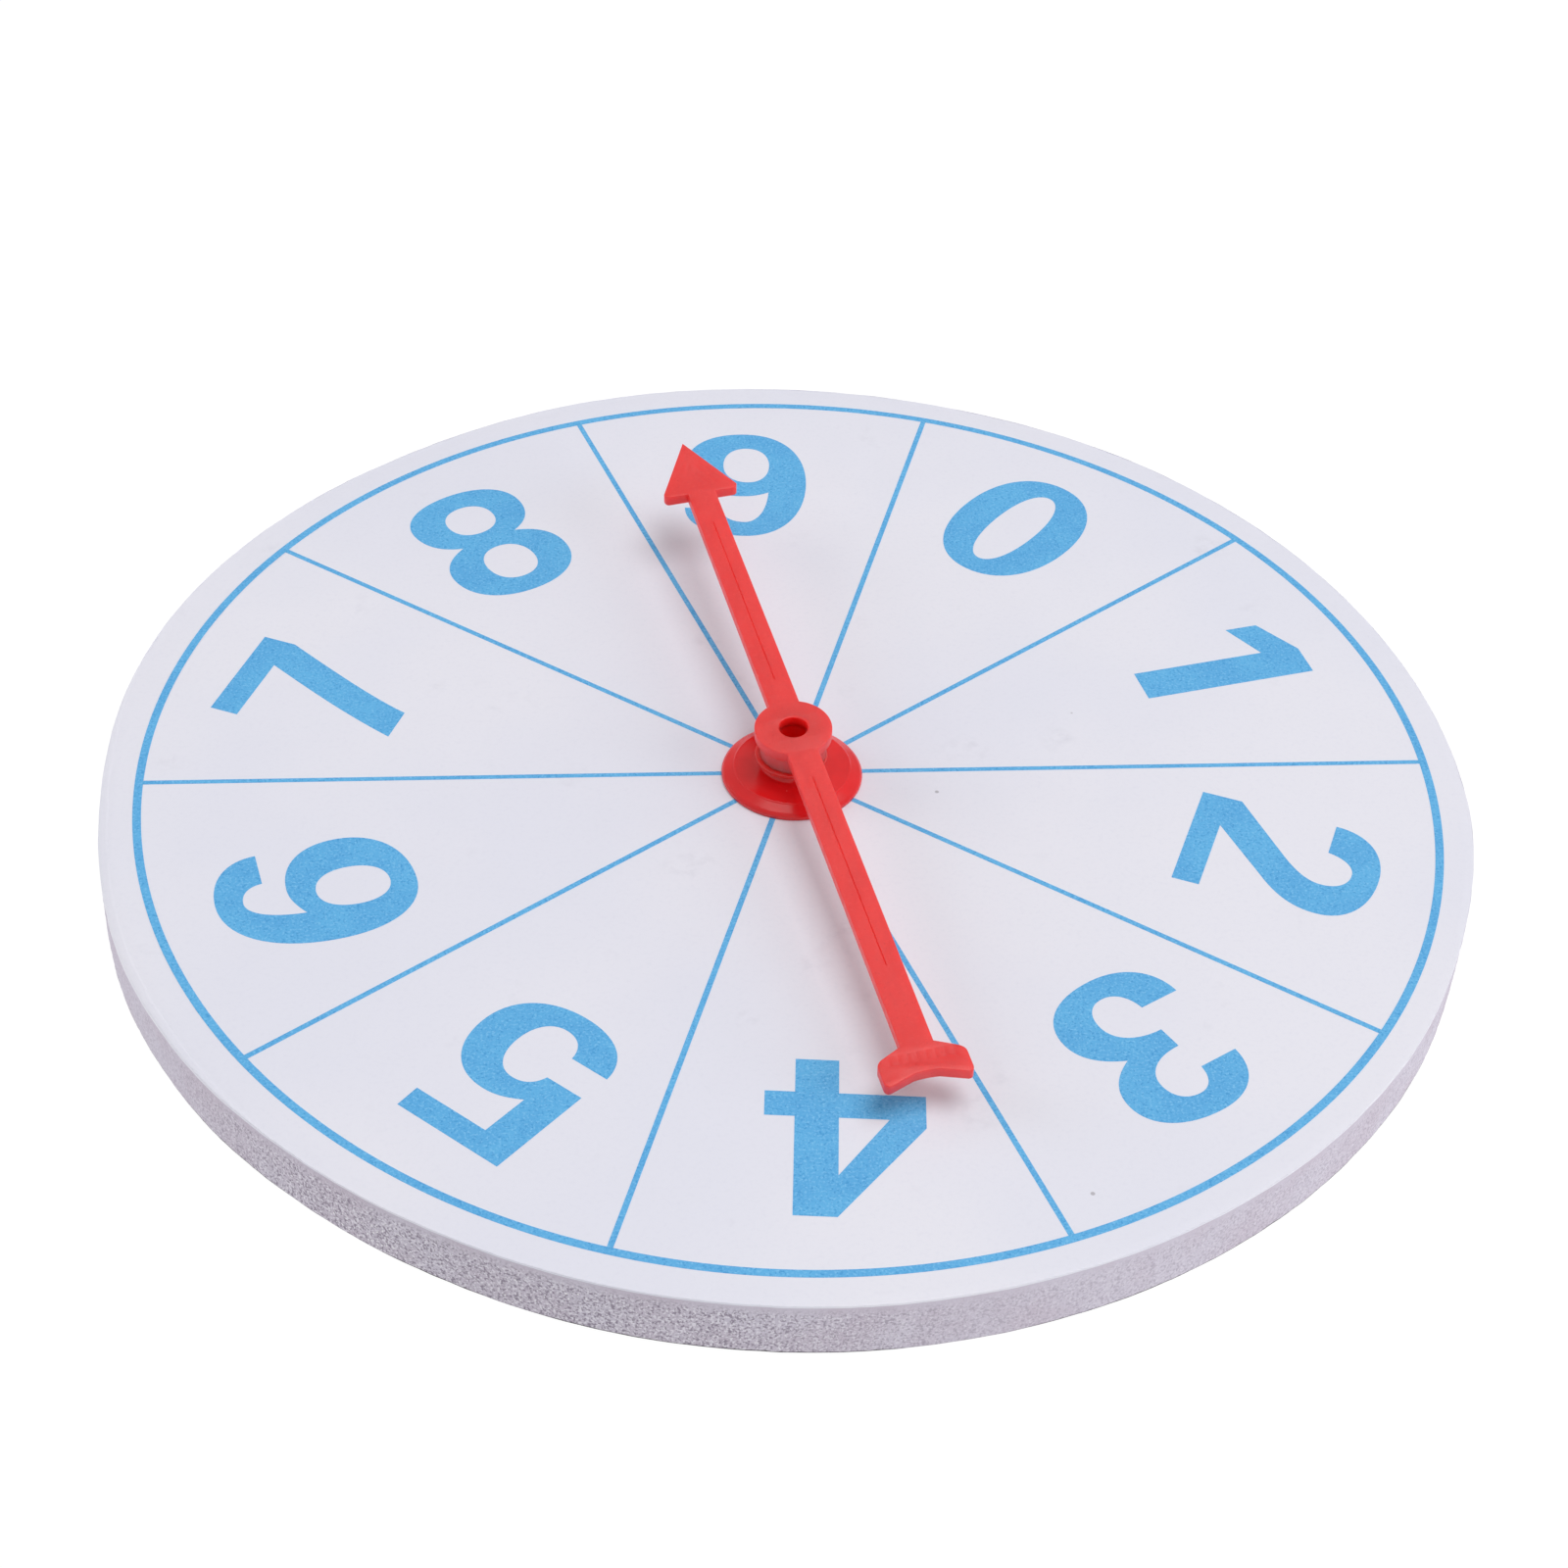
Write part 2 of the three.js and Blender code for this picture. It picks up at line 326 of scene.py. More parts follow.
# Red light spreads further inside the plastic than the rest, and some of it comes through.
RED_GLOW = (1, 0.12, 0.1)
GLOW_DEPTH = 1.5


def film_material():
    """White printed film with the fine pebble of the sheet and a few faint smudges and specks."""
    film = Surface("printed_film", linear(225, 225, 236), 0.5, Specular_IOR_Level=0.35)
    film.tint(linear(229, 228, 237), film.ramp(film.noise(38, detail=2), 0.38, 0.62))
    film.tint(linear(215, 215, 228), film.ramp(film.noise(0.5, detail=2), 0.5, 0.85, 0, 0.3))
    smudge = film.times(
        film.ramp(film.noise(9, detail=2), 0.64, 0.78),
        film.ramp(film.noise(1.4, detail=3), 0.42, 0.7, 0, 0.6),
    )
    film.tint(linear(206, 205, 216), smudge)
    film.tint(linear(168, 164, 170), film.ramp(film.cells(15), 0.018, 0.012, 0, 0.8))
    film.rough(film.ramp(film.noise(4, detail=3), 0.3, 0.7, 0.42, 0.58))
    film.bump(film.noise(26, detail=1), 0.12, 0.35)
    film.bump(film.noise(0.45, detail=2), 0.012, 0.6)
    return film.material


def ink_material():
    """Sky-blue screen ink that shows the pebble of the film under it."""
    ink = Surface("blue_ink", linear(95, 176, 227), 0.5, Specular_IOR_Level=0.35)
    ink.tint(linear(89, 169, 223), ink.ramp(ink.noise(5, detail=2), 0.4, 0.62))
    ink.tint(linear(128, 196, 238), ink.ramp(ink.noise(0.3, detail=2), 0.5, 0.7, 0, 0.8))
    ink.tint(linear(64, 148, 208), ink.ramp(ink.noise(0.26, detail=1), 0.44, 0.3, 0, 0.8))
    ink.tint(linear(38, 92, 138), ink.ramp(ink.cells(13), 0.02, 0.012))
    ink.rough(ink.ramp(ink.noise(0.8), 0.3, 0.7, 0.4, 0.6))
    ink.bump(ink.noise(0.42, detail=2), 0.02, 0.7)
    return ink.material


def foam_material():
    """The die-cut edge of closed-cell foam: mauve-grey grain, with painted shade and glints."""
    foam = Surface("cut_foam", linear(205, 199, 213), 0.85, Specular_IOR_Level=0.25)
    foam.tint(linear(200, 191, 205), foam.ramp(foam.noise(7, detail=3), 0.4, 0.62))
    # The grain shows below the film, most of all a little to the left of the middle.
    # Its flecks are partly grain and partly painted shade and light, strongest where light grazes.
    below_film = foam.along("Z", FOAM_TOP_Z - 0.1, FOAM_TOP_Z - 1.3)
    raking_light_side = foam.times(foam.along("X", 12, -12, 0.4, 1), foam.along("X", -66, -52, 0.3, 1))
    grainy = foam.times(below_film, raking_light_side)
    dark_grain_and_shade = foam.ramp(foam.noise(0.3, detail=1), 0.48, 0.62)
    foam.tint(linear(150, 141, 157), foam.times(grainy, dark_grain_and_shade))
    pale_grain_and_light = foam.ramp(foam.noise(0.26, detail=1), 0.52, 0.64)
    foam.tint(linear(228, 224, 234), foam.times(grainy, pale_grain_and_light))
    # The pores are painted darker, as shade inside the cells.
    pores = foam.times(
        foam.ramp(foam.cells(0.8), 0.17, 0.08, 0, 0.8),
        foam.ramp(foam.noise(3, detail=2), 0.5, 0.65),
    )
    foam.tint(linear(128, 120, 134), foam.times(grainy, pores))
    # Painted glints, where the ends of cells catch the light.
    glints = foam.times(
        foam.ramp(foam.cells(0.62), 0.22, 0.12),
        foam.ramp(foam.noise(9, detail=2), 0.5, 0.66),
    )
    foam.tint(linear(246, 244, 248), foam.times(grainy, glints))
    # A painted contact shadow darkens the very foot of the wall, in patches.
    contact_shadow_patches = foam.ramp(foam.noise(11, detail=2), 0.4, 0.55, 0.3, 0.95)
    foot = foam.times(foam.along("Z", 0.3, 0.2), foam.from_axis(DISC_R - 2, DISC_R - 1))
    foam.tint(linear(46, 43, 46), foam.times(foot, contact_shadow_patches))
    foam.rough(foam.ramp(foam.noise(0.5), 0.3, 0.7, 0.7, 0.98))
    foam.bump(foam.noise(0.25, detail=2), 0.06, 0.5)
    return foam.material


def gloss_red_material():
    """Glossy injection-moulded red plastic, with faint flow marks and light scuffs."""
    red = Surface(
        "gloss_red",
        linear(228, 26, 30),
        0.24,
        Specular_IOR_Level=0.85,
        Subsurface_Weight=0.3,
        Subsurface_Radius=RED_GLOW,
        Subsurface_Scale=0.6 * GLOW_DEPTH * MM,
    )
    red.tint(linear(220, 21, 26), red.ramp(red.noise(3.5, detail=2), 0.4, 0.62))
    scuffs = red.ramp(red.noise(0.5, detail=3, stretch=(1, 7, 1)), 0.66, 0.8, 0, 0.5)
    red.tint(linear(226, 74, 76), scuffs)
    red.tint(linear(240, 150, 148), red.ramp(red.cells(3.1), 0.04, 0.025))
    red.rough(red.ramp(red.noise(0.9), 0.3, 0.7, 0.14, 0.26))
    red.bump(red.noise(2.2, detail=2), 0.05, 0.3)
    red.bump(red.noise(0.25, detail=2), 0.004, 0.5)
    return red.material


def satin_red_material():
    """Satin injection-moulded red plastic, mottled along the flow, a little rubbed."""
    red = Surface(
        "satin_red",
        linear(227, 58, 56),
        0.42,
        Specular_IOR_Level=0.8,
        Subsurface_Weight=1,
        Subsurface_Radius=RED_GLOW,
        Subsurface_Scale=2.4 * GLOW_DEPTH * MM,
    )
    flow = red.noise(2.6, detail=3, stretch=(1, 0.3, 1))
    red.tint(linear(219, 51, 50), red.ramp(flow, 0.42, 0.66))
    red.tint(linear(232, 74, 71), red.ramp(red.noise(0.5, detail=2), 0.55, 0.75, 0, 0.5))
    red.tint(linear(204, 43, 44), red.ramp(red.noise(0.32, detail=1), 0.36, 0.24, 0, 0.5))
    red.tint(linear(250, 205, 200), red.ramp(red.cells(11), 0.022, 0.013))
    # Painted light: the walls of the hole are painted a deeper red, for light through the plastic.
    red.tint(linear(252, 34, 34), red.from_axis(HOLE_R + 0.12, HOLE_R + 0.05))
    scuffs = red.ramp(red.noise(0.7, detail=3, stretch=(5, 0.7, 1)), 0.68, 0.82, 0, 0.5)
    red.tint(linear(238, 110, 106), scuffs)
    red.rough(red.ramp(red.noise(1.1), 0.3, 0.7, 0.34, 0.5))
    red.bump(red.noise(3.2, detail=2), 0.08, 0.25)
    red.bump(red.noise(0.22, detail=2), 0.008, 0.6)
    return red.material


# ---- Board ---------------------------------------------------------------------------------

# The die-cut edge is not quite concentric with the print, and not quite round: on top of a
# random wave it has lobes of (number round the board, height, phase in degrees).
CUT_SHIFT = np.array([-0.55, 0.37])
CUT_SPARE = 0.1
CUT_LOBES = [(2, 0.13, 47), (5, 0.07, 15), (6, 0.1, -148), (7, 0.13, 0)]
CUT_WAVE = 0.14
CUT_WAVE_LENGTH = 16
CUT_TREMOR = 0.05
CUT_TREMOR_LENGTH = 2.2
CUT_BEGINS_R = 66
CUT_ENDS_R = DISC_R - 1

# On one side the die has crushed the edge, so that the film rolls down over it.
CRUSH_HEADING = math.radians(-166)
CRUSH_REACH = math.radians(38)
CRUSH_WIDTH = 1.7
CRUSH_DROP = 0.55
CRUSH_DEPTH = 2.5

# The grain and the pores fade out under the film, at the foot and on the inner faces.
WALL_ROWS = 26
WALL_SEGMENTS = 1700
GRAIN_ENDS_R = DISC_R - 0.8
GRAIN_BEGINS_R = DISC_R - 1.2
GRAIN_TOP_FADE = 0.9
GRAIN_FOOT_FADE = 0.3
GRAIN_DEPTH = 0.05
GRAIN_SIZE = 0.7
PORE_DEPTH = 0.08
PORE_SIZE = 0.6
PORE_LEVEL = 0.25
BACK_EDGE_ROUND = 0.25

RECESS_R = 7
RECESS_DEPTH = 1.3
FILM_SEGMENTS = 900
FILM_ROWS = 12
FILM_EDGE_ROUND = 0.1
FILM_ROLL_WIDTH = 1.6
FILM_ROLL_DROP = 0.07
FILM_ROLL_LENGTH = 3.5


def cut_by_die(vertices):
    """Moves what lies near the edge of the board to where the die cut it."""
    radius = np.hypot(vertices[:, 0], vertices[:, 1])
    outward = vertices[:, :2] / radius[:, None]
    heading = np.arctan2(outward[:, 1], outward[:, 0])
    from_crush = np.abs((heading - CRUSH_HEADING + math.pi) % (2 * math.pi) - math.pi)
    crushed = CRUSH_DROP * smooth_step(CRUSH_REACH, 0, from_crush)
    into_roll = np.clip((radius - DISC_R + CRUSH_WIDTH) / CRUSH_WIDTH, 0, 1)
    near_top = smooth_step(FOAM_TOP_Z - CRUSH_DEPTH, FOAM_TOP_Z, vertices[:, 2])
    vertices[:, 2] -= crushed * near_top * (1 - np.sqrt(1 - into_roll ** 2))
    near_edge = smooth_step(CUT_BEGINS_R, CUT_ENDS_R, radius)[:, None]
    rim = np.column_stack([outward * DISC_R, np.zeros(len(vertices))])
    wave = CUT_SPARE + CUT_WAVE * grain(rim, CUT_WAVE_LENGTH, seed=1)
    wave += CUT_TREMOR * grain(rim, CUT_TREMOR_LENGTH, seed=2)
    for lobes, height, phase in CUT_LOBES:
        wave += height * np.cos(lobes * heading - math.radians(phase))
    vertices[:, :2] += near_edge * (CUT_SHIFT + wave[:, None] * outward)


def foam_disc(material):
    """The foam, with a grainy pored wall, a rounded back edge and the recess for the retainer."""
    profile = filleted([
        (HUB_HOLE_R, RECESS_DEPTH, 0.1),
        (RECESS_R, RECESS_DEPTH, 0.1),
        (RECESS_R, 0, 0.15),
        (DISC_R, 0, BACK_EDGE_ROUND),
        (DISC_R, FOAM_TOP_Z, 0),
        (HUB_HOLE_R, FOAM_TOP_Z, 0),
    ])
    row_height = (FOAM_TOP_Z - BACK_EDGE_ROUND) / WALL_ROWS
    wall = [Vector((DISC_R, BACK_EDGE_ROUND + row * row_height)) for row in range(1, WALL_ROWS)]
    profile[-2:-2] = wall
    vertices, faces = turned(profile, WALL_SEGMENTS)
    cut_by_die(vertices)
    radius = np.hypot(vertices[:, 0], vertices[:, 1])
    outward = vertices[:, :2] / radius[:, None]
    on_wall = smooth_step(GRAIN_BEGINS_R, GRAIN_ENDS_R, radius)
    on_wall *= smooth_step(FOAM_TOP_Z, FOAM_TOP_Z - GRAIN_TOP_FADE, vertices[:, 2])
    on_wall *= smooth_step(0, GRAIN_FOOT_FADE, vertices[:, 2])
    pores = np.clip(grain(vertices, PORE_SIZE, seed=4) - PORE_LEVEL, 0, None)
    depth = GRAIN_DEPTH * grain(vertices, GRAIN_SIZE, seed=3) - PORE_DEPTH * pores
    vertices[:, :2] += (on_wall * depth)[:, None] * outward
    piece = add_piece("foam_disc_cut", vertices, faces, material, "board")
    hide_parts("foam_disc")
    return piece


def face_sheet(material):
    """The film on the face, whose edge is rolled over a little by the die."""
    crush_start = DISC_R - CRUSH_WIDTH
    flat_end = DISC_R - FILM_EDGE_ROUND
    flat_radii = np.linspace(HUB_HOLE_R, crush_start, FILM_ROWS, endpoint=False)[1:]
    roll_radii = np.linspace(crush_start, flat_end, FILM_ROWS, endpoint=False)
    top_steps = [Vector((r, FACE_Z)) for r in [*roll_radii[::-1], *flat_radii[::-1]]]
    profile = filleted([
        (HUB_HOLE_R, FOAM_TOP_Z, 0),
        (DISC_R, FOAM_TOP_Z, 0),
        (DISC_R, FACE_Z, FILM_EDGE_ROUND),
        (HUB_HOLE_R, FACE_Z, 0),
    ])
    profile[-1:-1] = top_steps
    vertices, faces = turned(profile, FILM_SEGMENTS)
    cut_by_die(vertices)
    radius = np.hypot(vertices[:, 0], vertices[:, 1])
    on_top = vertices[:, 2] > FACE_Z - FILM_EDGE_ROUND / 2
    rolled = smooth_step(DISC_R - FILM_ROLL_WIDTH, DISC_R, radius) * on_top
    vertices[:, 2] -= FILM_ROLL_DROP * rolled * (1 + grain(vertices, FILM_ROLL_LENGTH, seed=5))
    piece = add_piece("printed_face", vertices, faces, material, "board")
    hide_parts("face_sheet")
    return piece


# ---- Print ---------------------------------------------------------------------------------

INK_THICKNESS = 0.016
LINE_SHIFT = Vector((-0.14, 0.29))
DIGIT_SHIFT = Vector((-0.17, 0.41))
RING_LINE_R = 71.15
RING_LINE_WIDTH = 0.92
SPOKE_WIDTH = 0.62
SPOKE_START_R = 5
RING_LINE_SEGMENTS = 360
LINE_OVERLAP = 0.01

# Each digit stands upright for a reader at the rim, tilted a little from its sector's middle.
ZERO_SECTOR = math.radians(54)
DIGIT_TILT = math.radians(-5.1)

# How much fuller than an ellipse the rounds of the digits are
DIGIT_FULLNESS = 1.1
ROUND_STEPS = 16
SAME_POINT = 1e-6

# The digits' outlines in millimetres, with v outwards from the hub and u to the right. A pair is
# a corner at the end of a straight edge. A third number is the heading, in degrees, at which a
# round stretch reaches the point, and a fourth the heading at which that stretch set out, where
# it isn't the heading that the stretch before it ended on.
DIGITS = {
    0: [
        [(-6.1, 64.4), (1.4, 54, -90, 0), (-6.1, 43.2, 180), (-13.45, 54, 90), (-6.1, 64.4, 0)],
        [(-6.1, 61.5), (-8.9, 53.9, -90, 180), (-6.1, 45.9, 0), (-3.3, 53.9, 90), (-6.1, 61.5, 180)],
    ],
    1: [
        [(-6.55, 43.55), (-2, 43.55), (-2, 64.05), (-6.2, 64.05), (-11.5, 60.95), (-11.5, 57.1),
         (-6.55, 59.5)],
    ],
    2: [
        [(-13.65, 43.6), (1.2, 43.6), (1.2, 46.6), (-8.95, 46.6), (-2.8, 52.35),
         (1.05, 59.3, 90, 41), (-6.5, 64.6, 180), (-13.4, 58.6, -90), (-8.9, 58.6),
         (-6.2, 61.7, 0, 80), (-3.6, 58.9, -90), (-6.5, 54.3, -138), (-13.65, 48)],
    ],
    3: [
        [(-13.55, 58.95), (-9.05, 58.95), (-6.6, 61.7, 0, 85), (-3.95, 59, -90), (-9, 55.5, 180),
         (-9, 52.8), (-3.9, 49.3, -90, 0), (-6.65, 46.2, 180), (-9.35, 49.35, 95),
         (-13.95, 49.35), (-7.2, 43.5, 0, -90), (0.75, 49.3, 90), (-3.3, 54.35, 155),
         (0.58, 59.4, 90, 24), (-7, 64.6, 180), (-13.55, 58.95, -92)],
    ],
    4: [
        [(-5.65, 43.7), (-1.3, 43.7), (-1.3, 48.15), (1.7, 48.15), (1.7, 51.4), (-1.3, 51.4),
         (-1.3, 64.15), (-5.6, 64.15), (-14.25, 52.35), (-14.25, 48.15), (-5.65, 48.15)],
        [(-5.65, 51.4), (-5.65, 58.9), (-10.65, 51.4)],
    ],
    5: [
        [(-13.05, 64.2), (-13.6, 52.2), (-9.2, 52.2), (-6.5, 54.35, 0, 75), (-3.5, 50.3, -90),
         (-6.6, 46.05, 180), (-9.45, 48.7, 95), (-13.95, 48.7), (-7, 43.5, 0, -88),
         (0.92, 50.5, 90), (-5.2, 57.3, 180), (-9.4, 55.9, -148), (-9.1, 61.35), (-0.2, 61.35),
         (-0.2, 64.2)],
    ],
    6: [
        [(0.97, 59.2), (-5.6, 64.5, 180, 92), (-13.65, 53.3, -90), (-6.6, 43.3, 0),
         (1.5, 50.4, 90), (-5, 56.9, 180), (-8.95, 55.4, -145), (-6, 61.6, 0, 88),
         (-3.45, 59.2, -85)],
        [(-6.1, 53.95), (-8.95, 50, -90, 180), (-6.1, 46.05, 0), (-3.1, 50, 90),
         (-6.1, 53.95, 180)],
    ],
    7: [
        [(-10.95, 43.5), (-6.55, 43.5), (-0.05, 60.2, 66, 76), (-0.05, 64), (-13.7, 64),
         (-13.7, 60.75), (-4.3, 60.75), (-10.95, 43.5, -106, -114)],
    ],
    8: [
        [(-6.15, 64.3), (-13.5, 59.3, -90, 180), (-9.75, 54.2, -20), (-13.8, 49.2, -90, -160),
         (-6.15, 43.1, 0), (1.25, 49.2, 90), (-2.65, 54.2, 160), (0.95, 59.3, 90, 20),
         (-6.15, 64.3, 180)],
        [(-6.2, 61.4), (-9.2, 58.6, -90, 180), (-6.2, 55.8, 0), (-3.15, 58.6, 90),
         (-6.2, 61.4, 180)],
        [(-6.2, 52.5), (-9.25, 49.2, -90, 180), (-6.2, 45.9, 0), (-3.1, 49.2, 90),
         (-6.2, 52.5, 180)],
    ],
    9: [
        [(-13.65, 48.3), (-6.5, 43.05, 0, -88), (1.08, 54.2, 90), (-6.3, 64.35, 180),
         (-13.85, 57.7, -90), (-7.3, 51.15, 0), (-3.5, 52.2, 32), (-6.4, 45.85, 180, -92),
         (-9.2, 48.3, 95)],
        [(-6.3, 61.3), (-9.25, 57.7, -90, 180), (-6.3, 54.1, 0), (-3.55, 57.7, 90),
         (-6.3, 61.3, 180)],
    ],
}


def round_stretch(start, set_out, end, arrive):
    """Points after start up to end on an arc that leaves and arrives at the given headings."""
    leaving = Vector((math.cos(math.radians(set_out)), math.sin(math.radians(set_out))))
    arriving = Vector((math.cos(math.radians(arrive)), math.sin(math.radians(arrive))))
    across = leaving.cross(arriving)
    chord = end - start
    turn = math.acos(leaving.dot(arriving))
    fullness = DIGIT_FULLNESS * 4 / 3 * math.tan(turn / 4) / math.tan(turn / 2)
    first_handle = start + leaving * fullness * chord.cross(arriving) / across
    last_handle = end - arriving * fullness * leaving.cross(chord) / across
    points = []
    for step in range(1, ROUND_STEPS + 1):
        share = step / ROUND_STEPS
        near_start = start.lerp(first_handle, share)
        middle = first_handle.lerp(last_handle, share)
        near_end = last_handle.lerp(end, share)
        points.append(near_start.lerp(middle, share).lerp(middle.lerp(near_end, share), share))
    return points


def digit_loop(path):
    """The points of one closed outline of a digit."""
    points = [Vector(path[0])]
    heading = None
    for u, v, *headings in path[1:]:
        end = Vector((u, v))
        if not headings:
            points.append(end)
            continue
        arrive, *set_out = headings
        points += round_stretch(points[-1], set_out[0] if set_out else heading, end, arrive)
        heading = arrive
    if (points[-1] - points[0]).length < SAME_POINT:
        points.pop()
    return points


def wound(loop, anticlockwise):
    """The loop, turned round if it doesn't run the given way."""
    area = sum(loop[index - 1].cross(point) for index, point in enumerate(loop))
    return loop if (area > 0) == anticlockwise else loop[::-1]


def ink_piece(name, loops, material):
    """A film of ink on the face, bounded by an outline and any holes in it."""
    wound_loops = [wound(loop, place == 0) for place, loop in enumerate(loops)]
    vertices, faces = slab(wound_loops, FACE_Z - INK_THICKNESS / 2, FACE_Z + INK_THICKNESS)
    return add_piece(name, vertices, faces, material, "board")


def printed_digit(digit, material):
    """One number in the middle of its sector."""
    sector = ZERO_SECTOR - digit * SECTOR_ANGLE
    turn = Matrix.Rotation(sector - math.pi / 2 + DIGIT_TILT, 2)
    loops = [
        [turn @ point + DIGIT_SHIFT for point in digit_loop(path)] for path in DIGITS[digit]
    ]
    return ink_piece(f"ink_digit_{digit}", loops, material)


def printed_spoke(number, material):
    """One line between two sectors, from under the hub's flange to the ring."""
    turn = Matrix.Rotation(number * SECTOR_ANGLE, 2)
    half = SPOKE_WIDTH / 2
    end = RING_LINE_R - RING_LINE_WIDTH / 2 + LINE_OVERLAP
    corners = [(SPOKE_START_R, -half), (end, -half), (end, half), (SPOKE_START_R, half)]
    loop = [turn @ Vector(corner) + LINE_SHIFT for corner in corners]
    return ink_piece(f"ink_line_{number}", [loop], material)


def printed_ring(material):
    """The ring round the ten sectors."""
    half = RING_LINE_WIDTH / 2
    loops = [
        [
            LINE_SHIFT + radius * Vector((math.cos(angle), math.sin(angle)))
            for angle in np.linspace(0, 2 * math.pi, RING_LINE_SEGMENTS, endpoint=False)
        ]
        for radius in (RING_LINE_R + half, RING_LINE_R - half)
    ]
    return ink_piece("ink_ring", loops, material)


def dial_print(material):
    """All the ink on the face."""
    printed_ring(material)
    for number in range(SECTORS):
        printed_spoke(number, material)
        printed_digit(number, material)


# ---- Hub, washer and retainer --------------------------------------------------------------

SLEEVE_R = 3.2
SLEEVE_TAPER = 0.35
CLIP_Z = 3.6
CLIP_SLOPE = 0.35
CLIP_PROUD = 0.15
RIM_EDGE_HEIGHT = 0.35
RIM_TOP_R = 7.5
RIM_HEIGHT = 0.7
CROWN_R = 6.4
CROWN_Z = FACE_Z + 1.3
CROWN_MIDDLE_R = 4.3
BOSS_R = 3.2
BOSS_FOOT_Z = FACE_Z + 1.6
BOSS_FOOT_SPREAD = 0.3
BOSS_FOOT_HEIGHT = 0.35

CLIP_SEAT_R = SLEEVE_R + 0.06
CLIP_SEAT_SLOPE = 0.4
CUP_R = 4.2
CUP_MOUTH_BEVEL = 0.2
CUP_FLOOR = 0.8
CUP_FLANGE = 1
DISH_DEPTH = 0.32
DISH_R = 3.6
DISH_EDGE_R = 4.1
GATE_RISE = 0.1
GATE_R = 0.45
GATE_FOOT_R = 0.7

WASHER_BORE_R = 2.25
WASHER_EDGE_DRAFT = 0.15
WASHER_SHIFT = np.array([-0.19, -0.06, 0])


def hub_base(material):
    """The domed flange with its raised crown, the boss for the washer, and the clip sleeve."""
    profile = filleted([
        (BORE_R, SLEEVE_END_Z, 0.1),
        (SLEEVE_R - SLEEVE_TAPER, SLEEVE_END_Z, 0.05),
        (SLEEVE_R, SLEEVE_END_Z + SLEEVE_TAPER, 0.1),
        (SLEEVE_R, CLIP_Z - CLIP_SLOPE, 0.05),
        (SLEEVE_R + CLIP_PROUD, CLIP_Z, 0.08),
        (SLEEVE_R, CLIP_Z + CLIP_SLOPE, 0.05),
        (SLEEVE_R, FACE_Z, 0.05),
        (FLANGE_R - 0.05, FACE_Z + 0.02, 0.05),
        (FLANGE_R, FACE_Z + RIM_EDGE_HEIGHT, 0.2),
        (RIM_TOP_R, FACE_Z + RIM_HEIGHT, 0.15),
        (CROWN_R + 0.12, CROWN_Z - 0.08, 0.06),
        (CROWN_R, CROWN_Z + 0.04, 0.07),
        (CROWN_R - 0.3, CROWN_Z + 0.03, 0.1),
        (CROWN_MIDDLE_R, CROWN_Z + 0.12, 0.5),
        (BOSS_R + BOSS_FOOT_SPREAD, BOSS_FOOT_Z, 0.15),
        (BOSS_R, BOSS_FOOT_Z + BOSS_FOOT_HEIGHT, 0.15),
        (BOSS_R, BOSS_TOP_Z, 0.12),
        (BORE_R, BOSS_TOP_Z, 0.1),
    ])
    piece = add_piece("hub_base_moulded", *turned(profile), material, "board")
    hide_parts("hub_base")
    return piece


def rear_retainer(material):
    """The flanged cup behind the board, with a shallow dished floor and a raised gate mark."""
    dish_z = RETAINER_Z + DISH_DEPTH
    profile = filleted([
        (0, dish_z - GATE_RISE, 0),
        (GATE_R, dish_z - GATE_RISE, 0.1),
        (GATE_FOOT_R, dish_z, 0.1),
        (DISH_R, dish_z, 0.15),
        (DISH_EDGE_R, RETAINER_Z, 0.15),
        (RETAINER_R, RETAINER_Z, 0.2),
        (RETAINER_R, RETAINER_Z + CUP_FLANGE, 0.12),
        (CUP_R, RETAINER_Z + CUP_FLANGE, 0.15),
        (CUP_R, RETAINER_TOP_Z, 0.15),
        (CLIP_SEAT_R + CUP_MOUTH_BEVEL, RETAINER_TOP_Z, 0.1),
        (CLIP_SEAT_R, CLIP_Z + CLIP_SEAT_SLOPE, 0.05),
        (CLIP_SEAT_R + CLIP_PROUD, CLIP_Z, 0.05),
        (CLIP_SEAT_R, CLIP_Z - CLIP_SEAT_SLOPE, 0.05),
        (CLIP_SEAT_R, RETAINER_Z + CUP_FLOOR, 0.1),
        (0, RETAINER_Z + CUP_FLOOR, 0),
    ])
    piece = add_piece("rear_retainer_moulded", *turned(profile), material, "board")
    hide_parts("rear_retainer")
    return piece


def thrust_washer(material):
    """The flat washer under the neck, whose loose bore lets it sit a little off centre."""
    profile = filleted([
        (WASHER_BORE_R, WASHER_BOTTOM_Z, 0.08),
        (WASHER_R - WASHER_EDGE_DRAFT, WASHER_BOTTOM_Z, 0.15),
        (WASHER_R, WASHER_TOP_Z, 0.15),
        (WASHER_BORE_R, WASHER_TOP_Z, 0.05),
    ])
    vertices, faces = turned(profile)
    piece = add_piece("thrust_washer_moulded", vertices + WASHER_SHIFT, faces, material, "washer")
    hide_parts("thrust_washer")
    return piece


# ---- Arrow ---------------------------------------------------------------------------------

